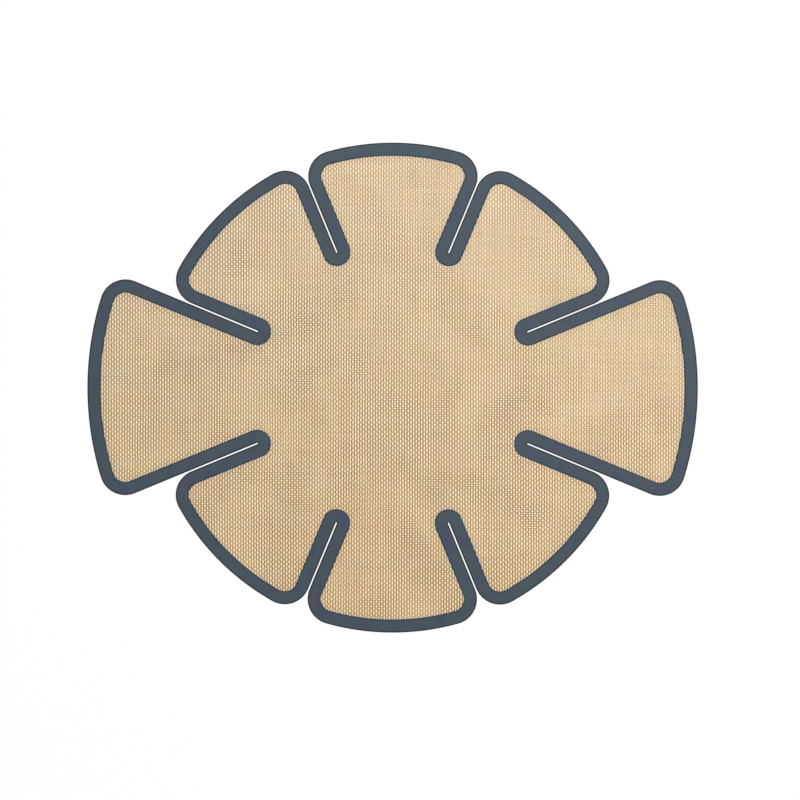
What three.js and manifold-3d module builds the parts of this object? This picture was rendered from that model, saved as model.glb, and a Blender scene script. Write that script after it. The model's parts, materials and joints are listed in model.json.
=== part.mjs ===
// Flat baking liner of silicone-coated glass cloth, for a round loaf in a round bread pot.
// A round base carries eight flaps between radial slits. Each flap folds up about a line across its
// root, and the two long flaps are the handles that lift the loaf out.
// Units are millimetres. X runs along the long flaps, Z is up, and the origin is the centre of the
// underside.
import * as THREE from 'three';
import { mergeVertices } from 'three/addons/utils/BufferGeometryUtils.js';
import Module from 'manifold-3d';

// Outline of the cut sheet
const BASE_RADIUS = 100; // from the centre to the inner end of each slit
const WALL_FLAP_LENGTH = 68; // from the base circle to the rim of a short flap
const LIFTING_FLAP_LENGTH = 109.3; // from the base circle to the rim of a long flap
const SLIT_WIDTH = 0.9;
const CORNER_RADIUS = 17.5; // where a slit runs out into the rim

// Layers of the sheet, from the underside up
const LOWER_COAT_THICKNESS = 0.2;
const CLOTH_THICKNESS = 0.35;
const UPPER_COAT_THICKNESS = 0.2;

// Border that seals the cut edges
const BORDER_WIDTH = 9;
const BORDER_RISE = 0.1; // above the upper coat
const EDGE_SEAL_WIDTH = 3; // solid silicone between the cut edge and the cloth's edge

// Clearances
const FOLD_GAP = 0.3; // between the base and a flap, across the fold line
const EDGE_GAP = 0.3; // between a layer's edge and the border that it meets
const FOLD_LAND = 3.3; // straight stretch from the border's round end at a slit to the fold line

// Fineness of the round stretches
const RIM_STEPS = 10;
const CORNER_STEPS = 7;
const SLIT_END_STEPS = 14;
const LEAST_CORNER_RADIUS = 1; // of a corner that is set in by more than its own radius
const CUT_OVERRUN = 1; // how far a cutting solid runs past the faces that it opens

// The flaps, anticlockwise from +X
const FLAPS = [
  { name: 'right_lifting_flap', length: LIFTING_FLAP_LENGTH },
  { name: 'back_right_flap', length: WALL_FLAP_LENGTH },
  { name: 'back_flap', length: WALL_FLAP_LENGTH },
  { name: 'back_left_flap', length: WALL_FLAP_LENGTH },
  { name: 'left_lifting_flap', length: LIFTING_FLAP_LENGTH },
  { name: 'front_left_flap', length: WALL_FLAP_LENGTH },
  { name: 'front_flap', length: WALL_FLAP_LENGTH },
  { name: 'front_right_flap', length: WALL_FLAP_LENGTH },
];

// Surface of each material
const TAN_SILICONE = { color: '#d1b895', roughness: 0.55, metalness: 0 };
const SLATE_SILICONE = { color: '#4d5761', roughness: 0.6, metalness: 0 };
const GLASS_CLOTH = { color: '#e8e2d2', roughness: 0.7, metalness: 0 };

// Heights of the layers
const clothBottom = LOWER_COAT_THICKNESS;
const clothTop = clothBottom + CLOTH_THICKNESS;
const panelTop = clothTop + UPPER_COAT_THICKNESS;
const borderTop = panelTop + BORDER_RISE;

// Places that the outline gives
const flapAngle = (2 * Math.PI) / FLAPS.length;
const halfAngle = flapAngle / 2;
const slitEndCentre = BASE_RADIUS + SLIT_WIDTH / 2;
const panelInset = BORDER_WIDTH + EDGE_GAP;
const clothInset = EDGE_SEAL_WIDTH + EDGE_GAP;

// The fold line lies just outside the round ends of the border at both of the flap's slits.
const foldDistance =
  slitEndCentre * Math.cos(halfAngle) +
  (SLIT_WIDTH / 2 + panelInset) * Math.sin(halfAngle) +
  FOLD_LAND +
  FOLD_GAP / 2;
const baseReach = foldDistance - FOLD_GAP / 2;
const flapRoot = foldDistance + FOLD_GAP / 2;

const wasm = await Module();
wasm.setup();

// Points of an arc, both ends included
function arc(x, y, radius, from, to, steps) {
  return Array.from({ length: steps + 1 }, (_, i) => {
    const angle = from + ((to - from) * i) / steps;
    return new THREE.Vector2(x + radius * Math.cos(angle), y + radius * Math.sin(angle));
  });
}

// Edge of a flap that points along +X, set in from the cut edge, from one end of its root to the other
function flapEdge(rimRadius, inset, root) {
  const rim = rimRadius - inset;
  const corner = Math.max(CORNER_RADIUS - inset, LEAST_CORNER_RADIUS);
  const offSlit = SLIT_WIDTH / 2 + inset;
  const bearing = halfAngle - Math.asin((offSlit + corner) / (rim - corner));
  const x = (rim - corner) * Math.cos(bearing);
  const y = (rim - corner) * Math.sin(bearing);
  const squareToSlit = halfAngle + Math.PI / 2;
  const rootHalf = root * Math.tan(halfAngle) - offSlit / Math.cos(halfAngle);
  return [
    new THREE.Vector2(root, -rootHalf),
    ...arc(x, -y, corner, -squareToSlit, -bearing, CORNER_STEPS),
    ...arc(0, 0, rim, -bearing, bearing, RIM_STEPS).slice(1, -1),
    ...arc(x, y, corner, bearing, squareToSlit, CORNER_STEPS),
    new THREE.Vector2(root, rootHalf),
  ];
}

// Edge round the inner end of a slit that points along +X, set in from the cut edge, from the fold
// line on one side of the slit to the fold line on the other
function slitEndEdge(inset, fold) {
  const offSlit = SLIT_WIDTH / 2 + inset;
  const reach = (fold - offSlit * Math.sin(halfAngle)) / Math.cos(halfAngle);
  return [
    new THREE.Vector2(reach, -offSlit),
    ...arc(slitEndCentre, 0, offSlit, -Math.PI / 2, (-3 * Math.PI) / 2, SLIT_END_STEPS),
    new THREE.Vector2(reach, offSlit),
  ];
}

// Edge of the base: round every slit end, and straight along the fold lines between them
function baseEdge(inset) {
  const centre = new THREE.Vector2();
  return FLAPS.flatMap((_, i) =>
    slitEndEdge(inset, baseReach).map((point) => point.rotateAround(centre, (i + 0.5) * flapAngle)),
  );
}

// Outline of a band between two edges that run the same way
function band(outer, inner) {
  return [...outer, ...inner.reverse()];
}

// Upright solid on an outline, from one height to another
function prism(outline, bottom, top) {
  const options = { depth: top - bottom, bevelEnabled: false };
  const geometry = new THREE.ExtrudeGeometry(new THREE.Shape(outline), options);
  return geometry.translate(0, 0, bottom);
}

function solidOf(geometry) {
  const bare = geometry.clone();
  bare.deleteAttribute('normal');
  bare.deleteAttribute('uv');
  const merged = mergeVertices(bare);
  const vertProperties = merged.attributes.position.array;
  const triVerts = merged.index.array;
  return new wasm.Manifold(new wasm.Mesh({ numProp: 3, vertProperties, triVerts }));
}

function cut(geometry, cutter) {
  const mesh = solidOf(geometry).subtract(solidOf(cutter)).getMesh();
  const result = new THREE.BufferGeometry();
  result.setAttribute('position', new THREE.BufferAttribute(mesh.vertProperties, 3));
  result.setIndex(new THREE.BufferAttribute(mesh.triVerts, 1));
  return result;
}

// Border of the height of the sheet, with the groove that holds the cloth's edge
function borderGeometry(outline, grooveOutline) {
  return cut(prism(outline, 0, borderTop), prism(grooveOutline, clothBottom, clothTop));
}

function addPiece(group, name, geometry, surface) {
  const piece = new THREE.Mesh(geometry, new THREE.MeshStandardMaterial(surface));
  piece.name = name;
  group.add(piece);
}

// The three layers of the base or of a flap. edgeAt gives their outline at an inset.
function addLayers(group, name, edgeAt) {
  const panel = edgeAt(panelInset);
  const lowerCoat = prism(panel, 0, clothBottom);
  const cloth = prism(edgeAt(clothInset), clothBottom, clothTop);
  const upperCoat = prism(panel, clothTop, panelTop);
  addPiece(group, `${name}_lower_coat`, lowerCoat, TAN_SILICONE);
  addPiece(group, `${name}_glass_cloth`, cloth, GLASS_CLOTH);
  addPiece(group, `${name}_upper_coat`, upperCoat, TAN_SILICONE);
}

// Round end of the border at one slit
function slitEndBorder() {
  const pastFold = baseReach + CUT_OVERRUN;
  const outline = band(slitEndEdge(0, baseReach), slitEndEdge(BORDER_WIDTH, baseReach));
  const groove = band(
    slitEndEdge(EDGE_SEAL_WIDTH, pastFold),
    slitEndEdge(BORDER_WIDTH + CUT_OVERRUN, pastFold),
  );
  return borderGeometry(outline, groove);
}

// Border along the slits and the rim of one flap
function flapBorder(rimRadius) {
  const pastRoot = flapRoot - CUT_OVERRUN;
  const outline = band(flapEdge(rimRadius, 0, flapRoot), flapEdge(rimRadius, BORDER_WIDTH, flapRoot));
  const groove = band(
    flapEdge(rimRadius, EDGE_SEAL_WIDTH, pastRoot),
    flapEdge(rimRadius, BORDER_WIDTH + CUT_OVERRUN, pastRoot),
  );
  return borderGeometry(outline, groove);
}

// The base, with the border's ends turned to their slits
const liner = new THREE.Group();
addLayers(liner, 'base', baseEdge);
FLAPS.forEach((_, i) => {
  const slit = new THREE.Group();
  slit.rotation.z = (i + 0.5) * flapAngle;
  addPiece(slit, `slit_end_border_${i + 1}`, slitEndBorder(), SLATE_SILICONE);
  liner.add(slit);
});

// The flaps, each turned to its place
FLAPS.forEach(({ name, length }, i) => {
  const rimRadius = BASE_RADIUS + length;
  const flap = new THREE.Group();
  flap.rotation.z = i * flapAngle;
  addLayers(flap, name, (inset) => flapEdge(rimRadius, inset, flapRoot));
  addPiece(flap, `${name}_border`, flapBorder(rimRadius), SLATE_SILICONE);
  liner.add(flap);
});

export default liner;
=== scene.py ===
"""Looks of a flat baking liner: woven glass cloth in tan silicone, sealed round every edge in slate.

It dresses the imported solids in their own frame, in metres: X along the two long flaps, Z up and the
origin at the centre of the underside.
"""

import json
import math

import bpy
import numpy as np
from bpy.props import FloatProperty, FloatVectorProperty, PointerProperty
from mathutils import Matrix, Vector


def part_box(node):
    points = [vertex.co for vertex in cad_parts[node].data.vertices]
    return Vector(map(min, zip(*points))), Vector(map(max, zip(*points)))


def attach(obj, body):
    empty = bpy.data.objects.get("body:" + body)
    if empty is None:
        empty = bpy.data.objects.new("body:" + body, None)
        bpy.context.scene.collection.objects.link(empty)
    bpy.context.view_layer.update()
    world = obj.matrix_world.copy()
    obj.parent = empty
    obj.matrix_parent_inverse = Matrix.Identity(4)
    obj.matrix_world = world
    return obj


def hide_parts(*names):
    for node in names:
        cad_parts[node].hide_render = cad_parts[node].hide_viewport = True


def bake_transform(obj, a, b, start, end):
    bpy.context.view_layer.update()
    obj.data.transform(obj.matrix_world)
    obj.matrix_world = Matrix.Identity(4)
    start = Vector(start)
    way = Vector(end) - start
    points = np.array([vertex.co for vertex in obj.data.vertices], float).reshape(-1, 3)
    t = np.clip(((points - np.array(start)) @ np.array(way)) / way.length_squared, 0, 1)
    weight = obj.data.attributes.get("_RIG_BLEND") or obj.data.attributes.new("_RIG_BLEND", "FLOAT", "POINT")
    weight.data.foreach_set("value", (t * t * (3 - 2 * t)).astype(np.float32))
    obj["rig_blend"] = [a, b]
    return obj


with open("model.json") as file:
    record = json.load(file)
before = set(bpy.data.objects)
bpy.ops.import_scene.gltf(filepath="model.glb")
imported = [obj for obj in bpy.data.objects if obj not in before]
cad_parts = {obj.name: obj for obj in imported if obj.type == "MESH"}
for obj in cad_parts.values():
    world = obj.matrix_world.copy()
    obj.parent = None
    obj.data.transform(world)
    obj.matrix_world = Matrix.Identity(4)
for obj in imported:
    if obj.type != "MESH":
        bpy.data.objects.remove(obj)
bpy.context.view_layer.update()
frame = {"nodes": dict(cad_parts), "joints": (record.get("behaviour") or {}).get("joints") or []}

bl_info = {
    "name": "Baking Liner",
    "version": (1, 0, 0),
    "blender": (4, 5, 0),
    "location": "3D View > Sidebar > Liner",
    "description": "Weaves the panels of a baking liner, seals their edges and sets the stage",
    "category": "Object",
}

MM = 0.001


def fold_bearing(fold):
    """Direction of a fold from the centre, anticlockwise from +X, from 0 to a full turn."""
    x, y, _ = fold["pos_m"]
    return round(math.atan2(y, x), 6) % math.tau


# One fold for each flap, anticlockwise from +X
FOLDS = sorted(frame["joints"], key=fold_bearing)
FLAPS = [fold["child"] for fold in FOLDS]
FLAP_ANGLE = math.tau / len(FLAPS)
HALF_ANGLE = FLAP_ANGLE / 2
FOLD_RADIUS = math.hypot(*FOLDS[0]["pos_m"][:2])
RIM_RADII = np.array(
    [max(v.co.xy.length for v in frame["nodes"][f"{flap}_border"].data.vertices) for flap in FLAPS]
)

# Parts of the weave that aren't a flap, which has its number
BASE = -1
NO_PART = -2

# Heights above the floor
PANEL_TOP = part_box("base_upper_coat")[1].z
EDGING_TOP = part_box("slit_end_border_1")[1].z
MID_HEIGHT = EDGING_TOP / 2

# Attributes that the materials read
CLOTH_MM = "cloth_mm"  # place on the flat cloth in millimetres, which stays with the threads in every pose
INSET_MM = "inset_mm"  # distance from the nearest cut edge in millimetres
PAINTED_EDGE_SHADE = "painted_edge_shade"  # 1 on the painted shade along the cut edge, 0 on the flat of the edging

# Section of the edging, in from the cut edge
CUT_HALF_HEIGHT = 0.15 * MM  # of the upright face of the cut edge
ROUND_DEPTH = 0.3 * MM  # how far in the cut edge is rounded
CUT_SHADE = 0.7 * MM  # how far in the painted shade along the cut edge reaches
CUT_SHADE_FADE = 0.4 * MM

# Section of the edging at its inner side, where it thins to a lip on the weave
INNER_SHADE = 0.7 * MM  # from the inner side to where the painted shade there begins
INNER_SHADE_FADE = 0.5 * MM
INNER_SHADE_TONES = (0.5, 0.6)  # where that painted shade begins, and on the lip
LIP_START = 0.3 * MM  # short of the inner side
LIP_END = 0.2 * MM  # past the inner side
LIP_HALF_HEIGHT = 0.12 * MM  # at its end

# Fineness of the edging
ROUND_STEPS = 3
FLAT_STEPS = 7  # across the flat of the section
STRAIGHT_STEP = 1.0 * MM  # along a slit, fine enough to bend at a fold
CORNER_STEPS = 16
RIM_STEP = 2.5 * MM
SLIT_END_STEPS = 32
SHARP_ANGLE = math.radians(40)  # between faces that meet in an edge

# How far inside the cut edge the cloth begins, hidden in the edging
TUCK = 4 * MM

# Tone of the coat over the threads, from 0 in a deep furrow to 1 on a crown
MEAN_TONE = 0.693
COLUMN_TONE = 0.215  # along the middle of a column of crowns, against the mean
FURROW_DEPTH = 0.48  # of the furrow between two columns
CROWN_TONE = 0.255  # added on a crown, and taken off where the warp goes under a weft
CROWN_POINT = 0.1  # added in both places
TONE_POWER = 1.43  # that shades the middle tones
CROWN_HIGHLIGHT_TONES = (1.02, 1.3)  # where the painted highlight on a crown starts, and where it is full

# Patches where the furrows break into dots
DOT_PATCH_MM = 25
DOT_NOISE = (0.53, 0.7)  # at which the dots start, and at which they are full
DOT_DEPTH = 0.9
DOT_GAP = 0.26  # how much paler the furrow is between dots, as a share of their depth

# Contrast of the threads, which a thicker coat hides in patches, and painted shading of the threads that is
# deeper away from the soft box at the right rear
CONTRAST_PATCH_MM = 60
CONTRAST_NOISE = (0.3, 0.7)
PATCH_CONTRAST = (0.65, 1.51)
RIGHT_REAR = (0.7, 0.7, 0)
RIGHT_REAR_MM = 130  # from the centre to where the painted shading of the threads is weakest
RIGHT_REAR_CONTRAST = (1.12, 0.65)
CONTRAST_PIVOT = 0.03  # tone, against the mean, that no contrast changes

# Uneven tone along the warp, along the weft, in broad patches and from crossing to crossing: the size of a
# patch in millimetres along X and along Y, and how far the tone varies
TONE_PATCHES = ((2.2, 40, 0.17), (40, 2.0, 0.15), (40, 40, 0.19), (1.0, 1.0, 0.6))

# Changes of the coat beside the edging, in millimetres from it, and the painted sheen towards the rear
DARKENING_MM = (1, 4.5)  # where the coat is darkest, and where its tone is unchanged
DARKENING_DEPTH = 0.05
HAZE_MM = 1.8
HAZE_SHARE = 0.45
PAINTED_SHEEN_MM = 150  # from the centre to where the painted sheen is strongest
PAINTED_SHEEN_SHARE = 0.11

# Drift of the threads in millimetres, and of the tints in red, green and blue in linear light
NOISE_MIDDLE = (0.5, 0.5, 0.5)
THREAD_DRIFT = (0.6, 0.6, 0)
THREAD_PATCH_MM = 30
COAT_DRIFT = (0.105, 0.047, 0.079)
COAT_PATCH_MM = 16
SLATE_DRIFT = (0.038, 0.037, 0.053)
SLATE_PATCH_MM = 10

# Skins of the silicone
SILICONE_IOR = 1.41
COAT_ROUGHNESS = 0.6
CROWN_GLOSS = 0.12  # taken off the roughness on a crown
COAT_RELIEF = 0.2 * MM
SLATE_ROUGHNESS = 0.5
GRAIN_MM = 0.8  # coarser than life, to show
GRAIN_ROUGHNESS = 0.16
GRAIN_RELIEF = 0.03 * MM

# Sockets of the two colours of a Mix node
COLOUR_A, COLOUR_B = 6, 7

# Stage
WHITE = (1, 1, 1, 1)
FLOOR_REACH = 4.0
FLOOR_GLOW = 0.95  # share of the floor's white that needs no light
ROUND_LIGHT = 0.5  # strength of the even light from all round
BACKGROUND = 0.97  # strength of the world where it is seen, as white as the far floor
BOX_SIZE = 1.0
BOX_WATTS = 19.8
BOX_PLACE = (0.63, 0.75, 1.32)

# The photograph's frame
PHOTO_SIDE = 800  # pixels
PIXEL = 0.6856 * MM  # on the sheet
CENTRE_PIXEL = (392.59, 387.65)  # of the liner's centre, from the top left
CAMERA_TURN = math.radians(0.084)  # about the line of sight, anticlockwise from above
LENS_MM = 100
SENSOR_MM = 36


def linear(hex_colour):
    """Linear red, green, blue and alpha of an sRGB hex colour."""
    channels = [int(hex_colour[i : i + 2], 16) / 255 for i in (1, 3, 5)]
    return [c / 12.92 if c <= 0.04045 else ((c + 0.055) / 1.055) ** 2.4 for c in channels] + [1.0]


def length_property(name, description, default):
    """A length that a user would change, in metres."""
    return FloatProperty(
        name=name, description=description, default=default, unit="LENGTH", precision=5
    )


def colour_property(name, description, hex_colour):
    """A colour that a user would change."""
    return FloatVectorProperty(
        name=name,
        description=description,
        default=linear(hex_colour),
        size=4,
        min=0,
        max=1,
        subtype="COLOR",
    )


class LinerSizes(bpy.types.PropertyGroup):
    """Sizes of the cut sheet and its weave."""

    slit_end_radius: length_property("Slit End Radius", "From the centre to each slit", 100 * MM)
    slit_width: length_property("Slit Width", "Gap between two flaps", 0.9 * MM)
    corner_radius: length_property("Corner Radius", "Where a slit runs out into the rim", 17.5 * MM)
    edging_width: length_property("Edging Width", "From the cut edge to the bare weave", 9 * MM)
    warp_spacing: length_property("Warp Spacing", "Between threads that run along Y", 1.811 * MM)
    weft_spacing: length_property("Weft Spacing", "Between threads that run along X", 1.595 * MM)
    column_rise: length_property("Column Rise", "Swell of a warp thread above the mean", 0.09 * MM)
    crown_rise: length_property("Crown Rise", "Climb of a warp thread over a weft", 0.05 * MM)
    bend_length: length_property("Bend Length", "Stretch that bends at a fold", 6.8 * MM)


class LinerColours(bpy.types.PropertyGroup):
    """Colours of the sheet and of the floor that it lies on."""

    crown: colour_property("Crown", "Coat on top of a warp thread", "#FDE2B5")
    gap: colour_property("Gap", "Coat sunk between two warp threads", "#784F08")
    # A near-white highlight painted on the highest crowns
    thread: colour_property("Thread", "Painted highlight on the highest crowns", "#FFF1D0")
    # A whitish sheen painted on the coat towards the rear
    painted_sheen: colour_property("Painted Sheen", "Sheen painted towards the rear", "#D7D6D4")
    haze: colour_property("Haze", "Thin edge of the edging on the coat", "#BDB9AF")
    slate: colour_property("Slate", "Flat of the edging", "#384551")
    # Painted shade along both sides of the edging
    slate_shade: colour_property("Slate Shade", "Painted shade along both sides of the edging", "#070B0E")
    floor: colour_property("Floor", "Paper under the liner", "#FFFFFF")


def set_inputs(owner, node, inputs):
    """Sets a node's inputs, in order or by key: to values, or to sockets or nodes' main outputs to link."""
    pairs = inputs.items() if isinstance(inputs, dict) else enumerate(inputs)
    for key, value in pairs:
        if isinstance(value, bpy.types.Node):
            value = next(output for output in value.outputs if output.enabled)
        if isinstance(value, bpy.types.NodeSocket):
            owner.node_tree.links.new(value, node.inputs[key])
        else:
            node.inputs[key].default_value = value


def add_node(owner, kind, inputs=(), **settings):
    """Adds a node with these inputs and settings to a material or world."""
    node = owner.node_tree.nodes.new(kind)
    for name, value in settings.items():
        setattr(node, name, value)
    set_inputs(owner, node, inputs)
    return node


def new_material(name, inputs):
    """A node material whose Principled BSDF has these inputs, and that shader."""
    material = bpy.data.materials.new(name)
    material.use_nodes = True
    shader = material.node_tree.nodes["Principled BSDF"]
    set_inputs(material, shader, inputs)
    return material, shader


def drifted(material, place, base, amounts, patch_mm, detail):
    """A place or colour that drifts about its base by these amounts, in patches of that size."""
    pattern = {"Vector": place, "Scale": 1 / patch_mm, "Detail": detail}
    noise = add_node(material, "ShaderNodeTexNoise", pattern).outputs["Color"]
    centred = add_node(
        material, "ShaderNodeVectorMath", (noise, NOISE_MIDDLE), operation="SUBTRACT"
    )
    return add_node(
        material, "ShaderNodeVectorMath", (centred, amounts, base), operation="MULTIPLY_ADD"
    )


def thread_relief(material, place, threads_place, sizes):
    """Tone and height of the coat over the threads, from the place on the cloth as they drift."""
    # Half waves of the warp and the weft, and the squares that are 1 midway between threads
    waves = []
    for axis, spacing in (("X", sizes.warp_spacing), ("Y", sizes.weft_spacing)):
        turn = math.pi * MM / spacing
        angle = add_node(
            material, "ShaderNodeMath", (threads_place.outputs[axis], turn), operation="MULTIPLY"
        )
        cosine = add_node(material, "ShaderNodeMath", (angle,), operation="COSINE")
        sine = add_node(material, "ShaderNodeMath", (angle,), operation="SINE")
        square = add_node(material, "ShaderNodeMath", (sine, sine), operation="MULTIPLY")
        waves.append((cosine, square))
    (warp, beside), (weft, between) = waves

    # The product of the waves is positive where the warp is on top
    crown = add_node(material, "ShaderNodeMath", (warp, weft), operation="MULTIPLY")
    columns = add_node(
        material, "ShaderNodeMath", (beside, -FURROW_DEPTH, COLUMN_TONE), operation="MULTIPLY_ADD"
    )
    peak = add_node(
        material, "ShaderNodeMath", (crown, CROWN_POINT, CROWN_TONE), operation="MULTIPLY_ADD"
    )
    threads = add_node(
        material, "ShaderNodeMath", (crown, peak, columns), operation="MULTIPLY_ADD"
    )

    # In patches the furrows break into dark dots, with paler coat between the dots
    dot = add_node(material, "ShaderNodeMath", (between, between), operation="MULTIPLY")
    paler = add_node(material, "ShaderNodeMath", (DOT_GAP, dot), operation="SUBTRACT")
    broken = add_node(material, "ShaderNodeMath", (beside, paler), operation="MULTIPLY")
    pattern = {"Vector": place, "Scale": 1 / DOT_PATCH_MM, "Detail": 2}
    noise = add_node(material, "ShaderNodeTexNoise", pattern)
    depth = add_node(material, "ShaderNodeMapRange", (noise, *DOT_NOISE, 0, DOT_DEPTH))
    dotted = add_node(
        material, "ShaderNodeMath", (broken, depth, threads), operation="MULTIPLY_ADD"
    )

    # A thicker coat hides more of the threads in patches, and the threads' shading is painted, deeper away
    # from the soft box at the right rear
    pattern = {"Vector": place, "Scale": 1 / CONTRAST_PATCH_MM, "Detail": 3}
    noise = add_node(material, "ShaderNodeTexNoise", pattern)
    patches = add_node(
        material, "ShaderNodeMapRange", (noise, *CONTRAST_NOISE, *PATCH_CONTRAST)
    )
    rearward = add_node(
        material, "ShaderNodeVectorMath", (place, RIGHT_REAR), operation="DOT_PRODUCT"
    )
    painted_thread_shading = add_node(
        material, "ShaderNodeMapRange", (rearward, 0, RIGHT_REAR_MM, *RIGHT_REAR_CONTRAST)
    )
    contrast = add_node(material, "ShaderNodeMath", (patches, painted_thread_shading), operation="MULTIPLY")
    centred = add_node(material, "ShaderNodeMath", (dotted, CONTRAST_PIVOT), operation="SUBTRACT")
    return add_node(
        material, "ShaderNodeMath", (centred, contrast, MEAN_TONE), operation="MULTIPLY_ADD"
    )


def uneven_tone(material, place, inset, relief, edging_mm):
    """Tone of the coat: that of its relief, made uneven, and a little darker beside the edging."""
    tone = relief
    for width, length, amount in TONE_PATCHES:
        scale = (1 / width, 1 / length, 0)
        stretched = add_node(
            material, "ShaderNodeVectorMath", (place, scale), operation="MULTIPLY"
        )
        pattern = {"Vector": stretched, "Scale": 1, "Detail": 2}
        noise = add_node(material, "ShaderNodeTexNoise", pattern)
        even = add_node(material, "ShaderNodeMath", (tone, amount / 2), operation="SUBTRACT")
        tone = add_node(material, "ShaderNodeMath", (noise, amount, even), operation="MULTIPLY_ADD")
    # The coat is a little darker in a band beside the edging
    thinnest, full = (edging_mm + distance for distance in DARKENING_MM)
    darkening = add_node(material, "ShaderNodeMapRange", (inset, thinnest, full, DARKENING_DEPTH, 0))
    return add_node(material, "ShaderNodeMath", (tone, darkening), operation="SUBTRACT")


def coat_colour(material, place, rearward, inset, tone, edging_mm, colours):
    """Colour of the coat at that tone, with its drift of tint, its milky skin and its hazy border."""
    lightness = add_node(material, "ShaderNodeMath", (tone, TONE_POWER), operation="POWER")
    mix = {0: lightness, COLOUR_A: colours.gap, COLOUR_B: colours.crown}
    coat = add_node(material, "ShaderNodeMix", mix, data_type="RGBA")

    # On the highest crowns a near-white highlight is painted
    bare = add_node(material, "ShaderNodeMapRange", (tone, *CROWN_HIGHLIGHT_TONES))
    mix = {0: bare, COLOUR_A: coat, COLOUR_B: colours.thread}
    coat = add_node(material, "ShaderNodeMix", mix, data_type="RGBA")

    # The tint drifts more in red and blue than in green
    coat = drifted(material, place, coat, COAT_DRIFT, COAT_PATCH_MM, 4)

    # A whitish sheen is painted over the coat, stronger towards the rear
    painted_sheen = add_node(
        material, "ShaderNodeMapRange", (rearward, -PAINTED_SHEEN_MM, PAINTED_SHEEN_MM, 0, PAINTED_SHEEN_SHARE)
    )
    mix = {0: painted_sheen, COLOUR_A: coat, COLOUR_B: colours.painted_sheen}
    coat = add_node(material, "ShaderNodeMix", mix, data_type="RGBA")

    # The edging thins out to a haze over the coat
    haze = add_node(
        material, "ShaderNodeMapRange", (inset, edging_mm, edging_mm + HAZE_MM, HAZE_SHARE, 0)
    )
    mix = {0: haze, COLOUR_A: coat, COLOUR_B: colours.haze}
    return add_node(material, "ShaderNodeMix", mix, data_type="RGBA")


def coated_cloth(sizes, colours):
    """Silicone rubber on woven glass cloth, dipped.

    Cream crowns show where a warp thread climbs over a weft. They stand in columns, with tan between
    them along a column and brown furrows where the coat has sunk between columns. In places the
    furrows break into dark dots, and the highest crowns carry a painted highlight. It is satin, uneven
    in tone and tint, with painted shading of the threads that is deeper away from the soft box at the
    right rear and a painted sheen towards the rear, and it is darker and then greyer close to the edging.
    """
    name = "Silicone on glass cloth, woven and dipped"
    if name in bpy.data.materials:
        return bpy.data.materials[name]
    material, shader = new_material(name, {"IOR": SILICONE_IOR})
    place = add_node(material, "ShaderNodeAttribute", attribute_name=CLOTH_MM).outputs["Vector"]
    inset = add_node(material, "ShaderNodeAttribute", attribute_name=INSET_MM).outputs["Fac"]
    edging_mm = sizes.edging_width / MM

    # Threads drift by up to about a fifth of a millimetre
    drift = drifted(material, place, place, THREAD_DRIFT, THREAD_PATCH_MM, 1)
    threads_place = add_node(material, "ShaderNodeSeparateXYZ", (drift,))
    relief = thread_relief(material, place, threads_place, sizes)
    tone = uneven_tone(material, place, inset, relief, edging_mm)
    rearward = threads_place.outputs["Y"]
    colour = coat_colour(material, place, rearward, inset, tone, edging_mm, colours)
    roughness = add_node(
        material, "ShaderNodeMath", (tone, -CROWN_GLOSS, COAT_ROUGHNESS), operation="MULTIPLY_ADD"
    )
    bump = add_node(material, "ShaderNodeBump", {"Height": relief, "Distance": COAT_RELIEF})
    set_inputs(material, shader, {"Base Color": colour, "Roughness": roughness, "Normal": bump})
    return material


def slate_silicone(colours):
    """Silicone rubber, moulded on to the edge of the cloth.

    A smooth, matt slate grey whose tint drifts faintly, and painted shade along each side, where the
    edging turns down.
    """
    name = "Slate silicone rubber, moulded"
    if name in bpy.data.materials:
        return bpy.data.materials[name]
    material, shader = new_material(name, {"IOR": SILICONE_IOR})
    place = add_node(material, "ShaderNodeAttribute", attribute_name=CLOTH_MM).outputs["Vector"]
    # Painted shade along both sides of the edging
    painted_shade = add_node(material, "ShaderNodeAttribute", attribute_name=PAINTED_EDGE_SHADE).outputs["Fac"]
    body = drifted(material, place, colours.slate[:3], SLATE_DRIFT, SLATE_PATCH_MM, 4)
    mix = {0: painted_shade, COLOUR_A: body, COLOUR_B: colours.slate_shade}
    colour = add_node(material, "ShaderNodeMix", mix, data_type="RGBA")
    pattern = {"Vector": place, "Scale": 1 / GRAIN_MM, "Detail": 2}
    grain = add_node(material, "ShaderNodeTexNoise", pattern)
    roughness = add_node(
        material,
        "ShaderNodeMath",
        (grain, GRAIN_ROUGHNESS, SLATE_ROUGHNESS),
        operation="MULTIPLY_ADD",
    )
    bump = add_node(material, "ShaderNodeBump", {"Height": grain, "Distance": GRAIN_RELIEF})
    set_inputs(material, shader, {"Base Color": colour, "Roughness": roughness, "Normal": bump})
    return material


def seen_as_background(owner):
    """1 for rays that show what they meet, straight, mirrored or through glass, and 0 for the rest."""
    path = add_node(owner, "ShaderNodeLightPath").outputs
    direct = (path["Is Camera Ray"], path["Is Glossy Ray"])
    mirrored = add_node(owner, "ShaderNodeMath", direct, operation="MAXIMUM")
    through = (mirrored, path["Is Transmission Ray"])
    return add_node(owner, "ShaderNodeMath", through, operation="MAXIMUM")


def white_paper(colours):
    """Paper, matt. It glows where it is seen, so that it is white and still takes a faint shadow."""
    name = "White paper, matt"
    paper, shader = new_material(name, {"Base Color": colours.floor, "Roughness": 1.0})
    seen = (seen_as_background(paper), FLOOR_GLOW)
    share = add_node(paper, "ShaderNodeMath", seen, operation="MULTIPLY")
    glow = add_node(paper, "ShaderNodeEmission", {"Strength": 1.0})
    both = add_node(paper, "ShaderNodeMixShader", (share, shader, glow))
    set_inputs(paper, paper.node_tree.nodes["Material Output"], {"Surface": both})
    return paper


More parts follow.
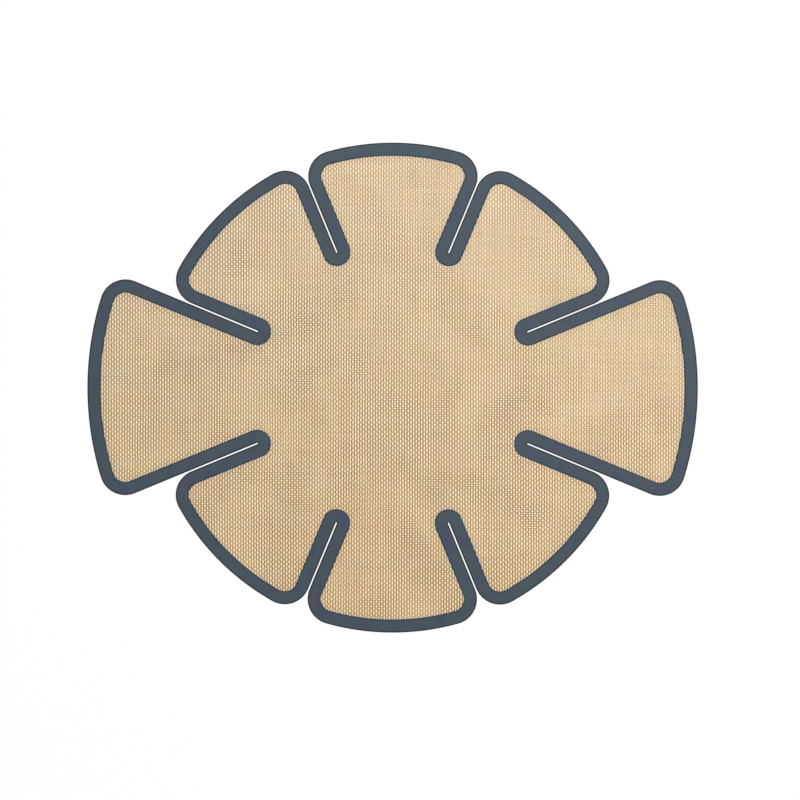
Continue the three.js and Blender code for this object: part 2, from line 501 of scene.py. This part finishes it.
def add_piece(name, vertices, faces, material):
    """A smooth mesh object with one material."""
    mesh = bpy.data.meshes.new(name)
    mesh.from_pydata(vertices, [], faces, shade_flat=False)
    mesh.materials.append(material)
    piece = bpy.data.objects.new(name, mesh)
    bpy.context.scene.collection.objects.link(piece)
    return piece


def half_threads(spacing, reach):
    """Numbers of the lattice lines, half a thread apart, that cover the sheet to that reach."""
    count = math.ceil(reach / spacing * 2)
    return np.arange(-count, count + 1)


def flap_and_inset(sizes, x, y):
    """Number of the flap in whose sector each point lies, and its distance from the nearest cut edge."""
    bearing, radius = np.arctan2(y, x), np.hypot(x, y)
    nearest = np.round(bearing / FLAP_ANGLE)
    flap = nearest.astype(int) % len(FLAPS)
    from_slit_line = HALF_ANGLE - np.abs(bearing - nearest * FLAP_ANGLE)

    # The corners between slit and rim are rounded
    slit_centre = sizes.slit_end_radius + sizes.slit_width / 2
    short_of_slit = np.minimum(radius * np.cos(from_slit_line) - slit_centre, 0)
    from_slit = np.hypot(short_of_slit, radius * np.sin(from_slit_line)) - sizes.slit_width / 2
    from_rim = RIM_RADII[flap] - radius
    corner = sizes.corner_radius
    rounded = corner - np.hypot(np.maximum(corner - from_slit, 0), np.maximum(corner - from_rim, 0))
    inside = np.minimum(from_slit, from_rim)
    return flap, np.where(inside < corner, rounded, inside)


def part_of_cells(sizes, x, y):
    """Which part the lattice cells with these centres belong to."""
    flap, inset = flap_and_inset(sizes, x, y)
    along_flap = x * np.cos(flap * FLAP_ANGLE) + y * np.sin(flap * FLAP_ANGLE)

    # The base ends where the sheet starts to bend, less half a cell's diagonal
    half_diagonal = math.hypot(sizes.warp_spacing, sizes.weft_spacing) / 4
    seam = FOLD_RADIUS - sizes.bend_length / 2 - half_diagonal
    part = np.where(along_flap < seam, BASE, flap)
    return np.where(inset < TUCK, NO_PART, part)


def weave(name, part, sizes, colours):
    """The coated cloth of one part, closed all round, with its points laid flat and its flat area."""
    columns = half_threads(sizes.warp_spacing, RIM_RADII.max())
    rows = half_threads(sizes.weft_spacing, RIM_RADII.max())
    step = np.array([sizes.warp_spacing, sizes.weft_spacing]) / 2
    centres = np.meshgrid((columns[:-1] + 0.5) * step[0], (rows[:-1] + 0.5) * step[1])
    cell_row, cell_column = np.nonzero(part_of_cells(sizes, *centres) == part)
    if not len(cell_row):
        raise RuntimeError(f"no cell of the weave lies in {name}")

    first = cell_row * len(columns) + cell_column
    above = first + len(columns)
    quads = np.stack([first, first + 1, above + 1, above], axis=1)
    used, quads = np.unique(quads, return_inverse=True)
    quads = quads.reshape(-1, 4)
    count = len(used)
    warp_turns, weft_turns = columns[used % len(columns)] / 2, rows[used // len(columns)] / 2
    flat = np.stack([warp_turns * sizes.warp_spacing, weft_turns * sizes.weft_spacing], axis=1)

    # Half the sheet's thickness, which is symmetric but for the thread that is on top
    swell = sizes.column_rise * np.cos(2 * np.pi * warp_turns)
    climb = sizes.crown_rise * np.cos(np.pi * warp_turns) * np.cos(np.pi * weft_turns)
    mean = PANEL_TOP - MID_HEIGHT - sizes.column_rise - sizes.crown_rise
    top = np.column_stack([flat, MID_HEIGHT + mean + swell + climb])
    under = np.column_stack([flat, MID_HEIGHT - mean - swell + climb])

    # Walls close the sheet along every side that no other cell shares
    sides = np.concatenate([quads[:, [k, (k + 1) % 4]] for k in range(4)])
    start, end = sides[~np.isin(sides @ [count, 1], sides @ [1, count])].T
    walls = np.stack([end, start, start + count, end + count], axis=1)
    faces = np.concatenate([quads, quads[:, ::-1] + count, walls])
    piece = add_piece(name, np.concatenate([top, under]), faces, coated_cloth(sizes, colours))

    # Underneath, the pattern is one thread on, because the weft is on top there where the warp is above
    place = np.zeros((2 * count, 3))
    place[:, :2] = np.concatenate([flat, flat + [sizes.warp_spacing, 0]]) / MM
    inset = np.tile(flap_and_inset(sizes, *flat.T)[1] / MM, 2)
    attributes = piece.data.attributes
    attributes.new(CLOTH_MM, "FLOAT_VECTOR", "POINT").data.foreach_set("vector", place.ravel())
    attributes.new(INSET_MM, "FLOAT", "POINT").data.foreach_set("value", inset)
    normals = np.repeat([[0.0, 0.0, 1.0], [0.0, 0.0, -1.0]], count, axis=0)
    piece.data.normals_split_custom_set_from_vertices(normals)
    return piece, flat, len(quads) * step.prod()


def directions(angles):
    """Unit vectors in the plane of the sheet."""
    return np.stack([np.cos(angles), np.sin(angles)], axis=1)


def turned(points, angle):
    """Points or directions in the plane of the sheet, turned about the centre."""
    cosine, sine = math.cos(angle), math.sin(angle)
    return points @ np.array([[cosine, sine], [-sine, cosine]])


def flap_edge(sizes, rim):
    """Cut edge of a flap that points along +X, from slit end to slit end, and the ways into the sheet."""
    corner, half_slit = sizes.corner_radius, sizes.slit_width / 2
    bearing = HALF_ANGLE - math.asin((half_slit + corner) / (rim - corner))
    centre = (rim - corner) * directions(np.array([-bearing]))
    slit_centre = sizes.slit_end_radius + half_slit
    straight_end = (rim - corner) * math.cos(HALF_ANGLE - bearing)

    # Along the slit, round the corner and to the middle of the rim
    straight_steps = math.ceil((straight_end - slit_centre) / STRAIGHT_STEP)
    rim_steps = math.ceil(rim * bearing / RIM_STEP)
    along = np.linspace(slit_centre, straight_end, straight_steps + 1)
    from_slit = directions(np.array([math.pi / 2 - HALF_ANGLE]))
    corner_angles = np.linspace(-HALF_ANGLE - math.pi / 2, -bearing, CORNER_STEPS + 1)
    corner_out = directions(corner_angles[1:])
    rim_out = directions(np.linspace(-bearing, 0, rim_steps + 1)[1:])
    slit_edge = along[:, None] * directions(np.array([-HALF_ANGLE])) + half_slit * from_slit
    edge = np.concatenate([slit_edge, centre + corner * corner_out, rim * rim_out])
    inward = np.concatenate([np.repeat(from_slit, len(along), axis=0), -corner_out, -rim_out])

    # The other half is its mirror image
    return [np.concatenate([half, half[-2::-1] * [1, -1]]) for half in (edge, inward)]


def slit_end_edge(sizes):
    """Cut edge round the inner end of a slit that points along +X, and the ways into the sheet."""
    inward = directions(np.linspace(1.5 * math.pi, 0.5 * math.pi, SLIT_END_STEPS + 1))
    half_slit = sizes.slit_width / 2
    return [sizes.slit_end_radius + half_slit, 0] + half_slit * inward, inward


def edging_profile(sizes):
    """Points round the edging's section: inset from the cut edge, height above the middle, painted edge
    shade.
    """
    half, width = EDGING_TOP / 2, sizes.edging_width
    rise = half - CUT_HALF_HEIGHT
    rounded = [
        (ROUND_DEPTH * (1 - math.cos(turn)), CUT_HALF_HEIGHT + rise * math.sin(turn), 1)
        for turn in np.linspace(0, math.pi / 2, ROUND_STEPS + 1)
    ]
    flat_start = CUT_SHADE + CUT_SHADE_FADE
    flat_end = width - INNER_SHADE - INNER_SHADE_FADE
    flat = [(inset, half, 0) for inset in np.linspace(flat_start, flat_end, FLAT_STEPS + 1)]
    inner_tone, lip_tone = INNER_SHADE_TONES
    lip = [
        (width - INNER_SHADE, half, inner_tone),
        (width - LIP_START, half, lip_tone),
        (width + LIP_END, LIP_HALF_HEIGHT, lip_tone),
    ]
    upper = np.array([*rounded, (CUT_SHADE, half, 1), *flat, *lip])
    return np.concatenate([upper, upper[::-1] * [1, -1, 1]])


def edging(name, edge, inward, sizes, colours):
    """The edging swept along a cut edge that has the sheet on its left."""
    profile = edging_profile(sizes)
    stations, around = len(edge), len(profile)
    flat = (edge[:, None] + profile[None, :, :1] * inward[:, None]).reshape(-1, 2)
    height = np.tile(MID_HEIGHT + profile[:, 1], stations)
    ring = np.arange(around)
    ahead = (ring + 1) % around
    span = np.stack([ring, ring + around, ahead + around, ahead], axis=1)
    sides = (span[None] + around * np.arange(stations - 1)[:, None, None]).reshape(-1, 4)

    # Each end is closed by quads from the upper half of the section to its mirror image
    upper = ring[: around // 2 - 1]
    end = np.stack([upper, upper + 1, around - 2 - upper, around - 1 - upper], axis=1)
    far_end = end[:, ::-1] + around * (stations - 1)
    faces = np.concatenate([sides, end, far_end])
    piece = add_piece(name, np.column_stack([flat, height]), faces, slate_silicone(colours))
    piece.data.set_sharp_from_angle(angle=SHARP_ANGLE)
    place = np.column_stack([flat / MM, np.zeros(len(flat))])
    # Share of painted shade along both sides of the edging
    painted_shade = np.tile(profile[:, 2], stations)
    attributes = piece.data.attributes
    attributes.new(CLOTH_MM, "FLOAT_VECTOR", "POINT").data.foreach_set("vector", place.ravel())
    attributes.new(PAINTED_EDGE_SHADE, "FLOAT", "POINT").data.foreach_set("value", painted_shade)
    return piece


def bend_at_fold(piece, number, sizes):
    """Bends a flap's piece with the base across the flap's fold."""
    outward = Vector((*directions(np.array([number * FLAP_ANGLE]))[0], 0))
    start = (FOLD_RADIUS - sizes.bend_length / 2) * outward
    end = (FOLD_RADIUS + sizes.bend_length / 2) * outward
    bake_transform(piece, "base", FLAPS[number], start=start, end=end)


class LINER_OT_slit_ends(bpy.types.Operator):
    """Moulds the round end of the edging at each slit, on the base"""

    bl_idname = "liner.slit_ends"
    bl_label = "Edge Slit Ends"

    def execute(self, context):
        sizes, colours = context.scene.liner_sizes, context.scene.liner_colours
        for number in range(len(FLAPS)):
            angle = (number + 0.5) * FLAP_ANGLE
            edge, inward = (turned(points, angle) for points in slit_end_edge(sizes))
            piece = edging(f"slit_end_edging_{number + 1}", edge, inward, sizes, colours)
            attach(piece, "base")
            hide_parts(f"slit_end_border_{number + 1}")
        return {"FINISHED"}


class LINER_OT_flap_edging(bpy.types.Operator):
    """Moulds the edging along the slits and the rim of each flap"""

    bl_idname = "liner.flap_edging"
    bl_label = "Edge Flaps"

    def execute(self, context):
        sizes, colours = context.scene.liner_sizes, context.scene.liner_colours
        for number, flap in enumerate(FLAPS):
            angle = number * FLAP_ANGLE
            edge, inward = (turned(points, angle) for points in flap_edge(sizes, RIM_RADII[number]))
            piece = edging(f"{flap}_edging", edge, inward, sizes, colours)
            bend_at_fold(piece, number, sizes)
            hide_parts(f"{flap}_border")
        return {"FINISHED"}


class LINER_OT_base_weave(bpy.types.Operator):
    """Weaves the base between the slit ends, which need their edging first"""

    bl_idname = "liner.base_weave"
    bl_label = "Weave Base"

    def execute(self, context):
        sizes, colours = context.scene.liner_sizes, context.scene.liner_colours
        piece, flat, area = weave("base_weave", BASE, sizes, colours)
        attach(piece, "base")
        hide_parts("base_lower_coat", "base_glass_cloth", "base_upper_coat")
        return {"FINISHED"}


class LINER_OT_flap_weaves(bpy.types.Operator):
    """Weaves the flaps, which need their edging first"""

    bl_idname = "liner.flap_weaves"
    bl_label = "Weave Flaps"

    def execute(self, context):
        sizes, colours = context.scene.liner_sizes, context.scene.liner_colours
        for number, flap in enumerate(FLAPS):
            piece, flat, area = weave(f"{flap}_weave", number, sizes, colours)
            bend_at_fold(piece, number, sizes)
            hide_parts(f"{flap}_lower_coat", f"{flap}_glass_cloth", f"{flap}_upper_coat")
        return {"FINISHED"}


def lay_floor(colours):
    """A square of white paper under the liner."""
    reach = FLOOR_REACH
    corners = [(-reach, -reach, 0), (reach, -reach, 0), (reach, reach, 0), (-reach, reach, 0)]
    add_piece("floor", corners, [(0, 1, 2, 3)], white_paper(colours))


def light_evenly(scene):
    """Even light from all round, as white as the far floor where it is seen."""
    world = bpy.data.worlds.new("Studio")
    world.use_nodes = True
    soft = world.node_tree.nodes["Background"]
    set_inputs(world, soft, {"Color": WHITE, "Strength": ROUND_LIGHT})
    white = add_node(world, "ShaderNodeBackground", {"Color": WHITE, "Strength": BACKGROUND})
    either = add_node(world, "ShaderNodeMixShader", (seen_as_background(world), soft, white))
    set_inputs(world, world.node_tree.nodes["World Output"], {"Surface": either})
    scene.world = world


def hang_soft_box(scene):
    """A soft box above the right rear, facing the liner."""
    box = bpy.data.lights.new("soft_box", "AREA")
    box.size = BOX_SIZE
    box.energy = BOX_WATTS
    lamp = bpy.data.objects.new("soft_box", box)
    lamp.location = BOX_PLACE
    lamp.rotation_mode = "QUATERNION"
    lamp.rotation_quaternion = (-lamp.location).to_track_quat("-Z", "Y")
    scene.collection.objects.link(lamp)


def point_camera(scene):
    """The photograph's view, straight from above, with the liner a little up and left of the middle."""
    lens = bpy.data.cameras.new("camera")
    lens.lens = LENS_MM
    lens.sensor_width = SENSOR_MM
    camera = bpy.data.objects.new("camera", lens)
    away = PHOTO_SIDE * PIXEL * LENS_MM / SENSOR_MM
    right = (PHOTO_SIDE / 2 - CENTRE_PIXEL[0]) * PIXEL
    back = (CENTRE_PIXEL[1] - PHOTO_SIDE / 2) * PIXEL
    camera.location = (right, back, EDGING_TOP + away)
    camera.rotation_euler = (0, 0, CAMERA_TURN)
    scene.collection.objects.link(camera)
    scene.camera = camera


class LINER_OT_stage(bpy.types.Operator):
    """Lays the floor, lights it and points the camera straight down"""

    bl_idname = "liner.stage"
    bl_label = "Set Stage"

    def execute(self, context):
        context.scene.view_settings.view_transform = "Standard"
        lay_floor(context.scene.liner_colours)
        light_evenly(context.scene)
        hang_soft_box(context.scene)
        point_camera(context.scene)
        return {"FINISHED"}


class LINER_PT_sidebar(bpy.types.Panel):
    """Sizes, colours and steps of the liner"""

    bl_idname = "LINER_PT_sidebar"
    bl_label = "Baking Liner"
    bl_space_type = "VIEW_3D"
    bl_region_type = "UI"
    bl_category = "Liner"

    def draw(self, context):
        for group in (context.scene.liner_sizes, context.scene.liner_colours):
            for name in group.__annotations__:
                self.layout.prop(group, name)
        for step in STEPS:
            self.layout.operator(step.bl_idname)


STEPS = [
    LINER_OT_slit_ends,
    LINER_OT_flap_edging,
    LINER_OT_base_weave,
    LINER_OT_flap_weaves,
    LINER_OT_stage,
]
CLASSES = [LinerSizes, LinerColours, *STEPS, LINER_PT_sidebar]


def register():
    for cls in CLASSES:
        bpy.utils.register_class(cls)
    bpy.types.Scene.liner_sizes = PointerProperty(type=LinerSizes)
    bpy.types.Scene.liner_colours = PointerProperty(type=LinerColours)


def unregister():
    del bpy.types.Scene.liner_colours
    del bpy.types.Scene.liner_sizes
    for cls in reversed(CLASSES):
        bpy.utils.unregister_class(cls)


def main():
    register()
    bpy.ops.liner.slit_ends()
    bpy.ops.liner.flap_edging()
    bpy.ops.liner.base_weave()
    bpy.ops.liner.flap_weaves()
    bpy.ops.liner.stage()


if __name__ == "__main__":
    main()
